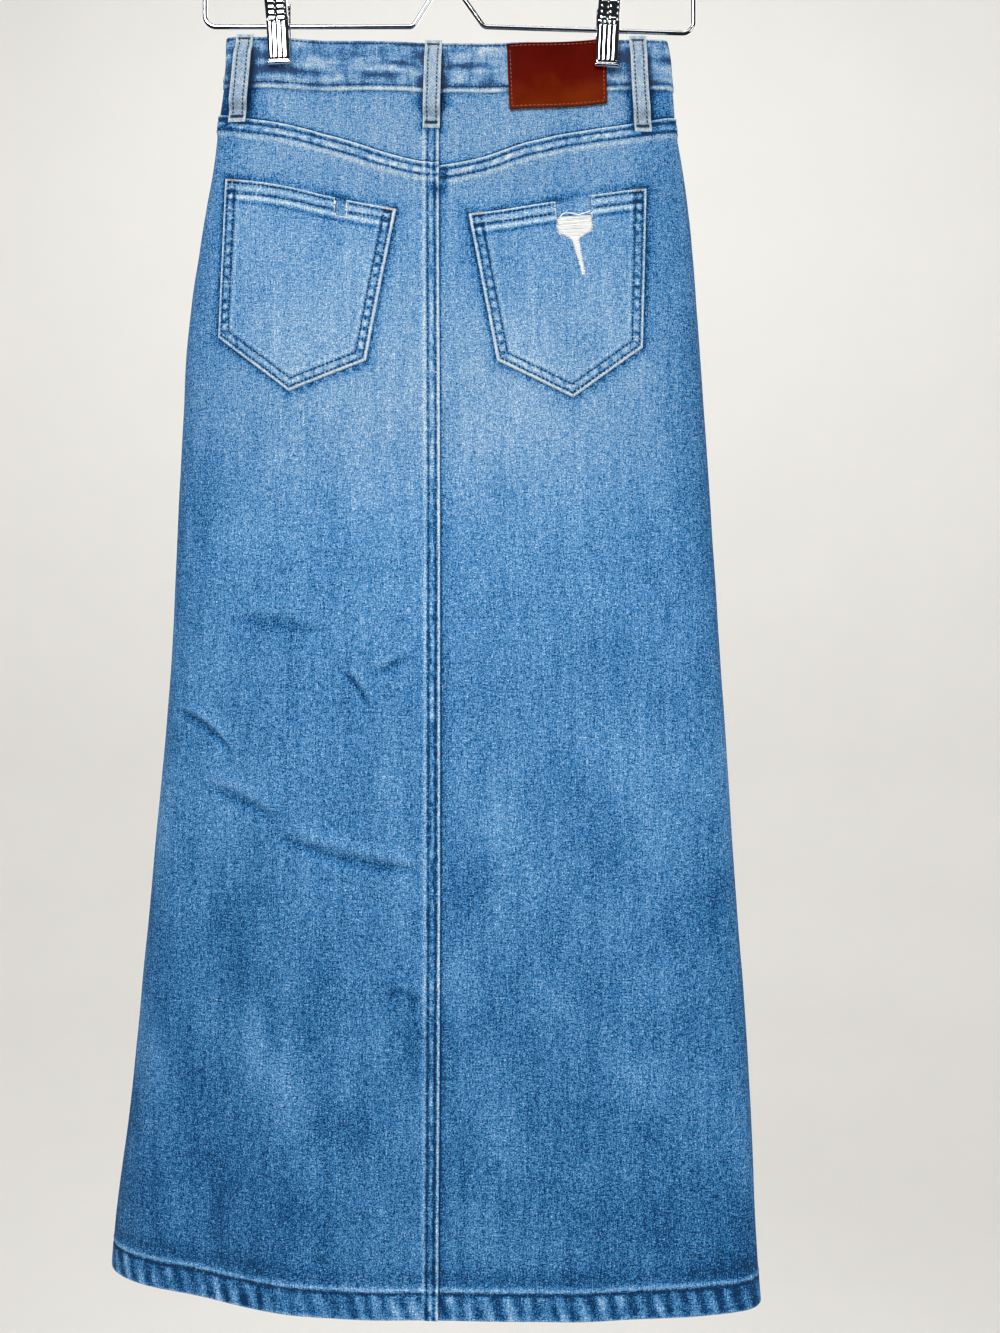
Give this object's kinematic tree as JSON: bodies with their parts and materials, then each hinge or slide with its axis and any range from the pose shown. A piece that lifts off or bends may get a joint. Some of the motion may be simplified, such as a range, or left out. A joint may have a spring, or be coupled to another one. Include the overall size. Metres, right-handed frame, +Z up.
{
  "type": "denim skirt on a wire clip hanger",
  "caption": "Long A-line denim skirt with back yoke, patch pockets and belt loops, hung by its waistband from two sprung clips on a chrome wire hanger.",
  "frame": {"origin": "inside of the hook's top, where a rail carries the hanger", "axes": "+Z up, -Y out of the skirt's back, +X to the wearer's right"},
  "size_m": [0.4763, 0.1107, 1.0522],
  "materials": {
    "denim": "light wash indigo twill, faded over the seat",
    "loop_denim": "paler worn twill",
    "thread": "matt sewing thread",
    "zip_tape": "woven tape",
    "leather": "smooth cognac leather, slightly waxed",
    "brass": "aged brass",
    "chrome": "polished chrome plate"
  },
  "bodies": {
    "root": {"waistband": "denim", "yoke_left": "denim", "yoke_right": "denim", "back_left": "denim", "back_right": "denim", "front_left": "denim", "front_right": "denim", "pocket_left": "denim", "pocket_right": "denim", "belt_loop_back_left": "loop_denim", "belt_loop_back": "loop_denim", "belt_loop_back_right": "loop_denim", "belt_loop_front_left": "loop_denim", "belt_loop_front_right": "loop_denim", "patch": "leather", "fly_shield": "denim", "zip": "zip_tape", "zip_slider": "brass", "waist_button": "brass", "hanger_wire": "chrome", "hanger_ferrule": "chrome", "hanger_hook": "chrome", "clip_left_back": "chrome", "clip_left_front": "chrome", "clip_left_spring": "chrome", "clip_right_back": "chrome", "clip_right_front": "chrome", "clip_right_spring": "chrome"}
  },
  "joints": []
}
